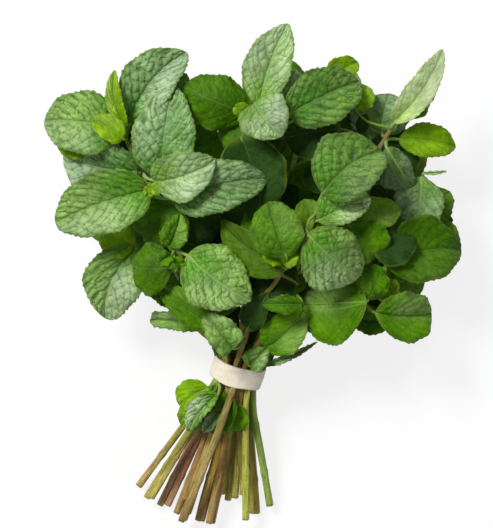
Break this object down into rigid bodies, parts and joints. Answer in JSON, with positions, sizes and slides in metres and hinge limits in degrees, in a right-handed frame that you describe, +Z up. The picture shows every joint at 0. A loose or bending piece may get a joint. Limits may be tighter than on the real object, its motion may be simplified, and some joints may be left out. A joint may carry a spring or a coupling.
{
  "type": "tied bunch of fresh mint",
  "caption": "Bunch of cut mint shoots tied with a wide elastic band, lying on a surface: a mound of quilted, toothed green leaves above the tie and bare fanned cut stems below it.",
  "frame": {"origin": "middle of the bunch's bounding box, on the surface that it lies on", "axes": "+Y along the stems from the cut ends to the leaves, +X across the bunch to the right as seen from above, +Z up from the surface"},
  "size_m": [0.187, 0.2268, 0.0849],
  "materials": {
    "stem": "smooth, slightly waxy square plant stem",
    "leaf": "quilted leaf with sunken veins and a soft pale sheen",
    "young_leaf": "thin bright young leaf",
    "band": "matt cream elastic band"
  },
  "bodies": {
    "root": {"stem_01": "stem", "stem_02": "stem", "stem_03": "stem", "stem_04": "stem", "stem_05": "stem", "stem_06": "stem", "stem_07": "stem", "stem_08": "stem", "stem_09": "stem", "stem_10": "stem", "stem_11": "stem", "stem_12": "stem", "stem_13": "stem", "band": "band", "lower_leaf_01": "leaf", "lower_leaf_02": "leaf", "lower_leaf_03": "leaf", "lower_leaf_04": "leaf", "lower_leaf_05": "leaf", "lower_leaf_06": "leaf", "lower_leaf_07": "leaf", "leaf_01": "leaf", "leaf_02": "leaf", "leaf_03": "leaf", "leaf_04": "leaf", "leaf_05": "leaf", "leaf_06": "leaf", "leaf_07": "leaf", "leaf_08": "leaf", "leaf_09": "leaf", "leaf_10": "leaf", "leaf_11": "leaf", "leaf_12": "leaf", "leaf_13": "leaf", "leaf_14": "leaf", "leaf_15": "leaf", "leaf_16": "leaf", "leaf_17": "leaf", "leaf_18": "leaf", "leaf_19": "young_leaf", "leaf_20": "leaf", "leaf_21": "leaf", "leaf_22": "leaf", "leaf_23": "leaf", "leaf_24": "leaf", "leaf_25": "leaf", "leaf_26": "leaf", "leaf_27": "leaf", "leaf_28": "leaf", "leaf_29": "leaf", "leaf_30": "young_leaf", "leaf_31": "leaf", "leaf_32": "leaf", "leaf_33": "leaf", "leaf_34": "leaf", "leaf_35": "leaf", "leaf_36": "leaf", "leaf_37": "leaf", "leaf_38": "young_leaf", "leaf_39": "young_leaf"}
  },
  "joints": []
}
